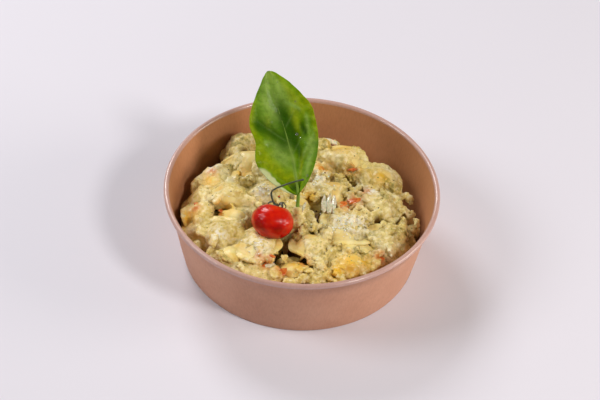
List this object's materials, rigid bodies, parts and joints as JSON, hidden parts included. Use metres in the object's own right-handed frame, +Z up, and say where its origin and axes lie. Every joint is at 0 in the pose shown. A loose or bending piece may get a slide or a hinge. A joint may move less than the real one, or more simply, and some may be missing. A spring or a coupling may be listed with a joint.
{
  "type": "bowl of tortellini",
  "caption": "Round kraft-paper salad bowl filled with a heap of stuffed pasta in creamy pesto sauce, garnished with a cherry tomato on its stalk and an upright basil leaf.",
  "frame": {"origin": "centre of the bowl's foot, on the surface it stands on", "axes": "+Z up along the bowl's axis, -Y towards the diner, +X to the diner's right"},
  "size_m": [0.15, 0.15, 0.0931],
  "materials": {
    "kraft_paper": "brown kraft card with a thin satin film inside",
    "creamed_pasta": "moist egg pasta coated in cream and herbs",
    "tomato_skin": "taut glossy skin",
    "tomato_stalk": "dry dark green stalk",
    "basil": "fresh leaf with a waxy gloss"
  },
  "bodies": {
    "root": {"bowl_wall": "kraft_paper", "bowl_floor": "kraft_paper", "pasta_heap": "creamed_pasta", "cherry_tomato": "tomato_skin", "tomato_stalk": "tomato_stalk", "basil_leaf": "basil"}
  },
  "joints": []
}
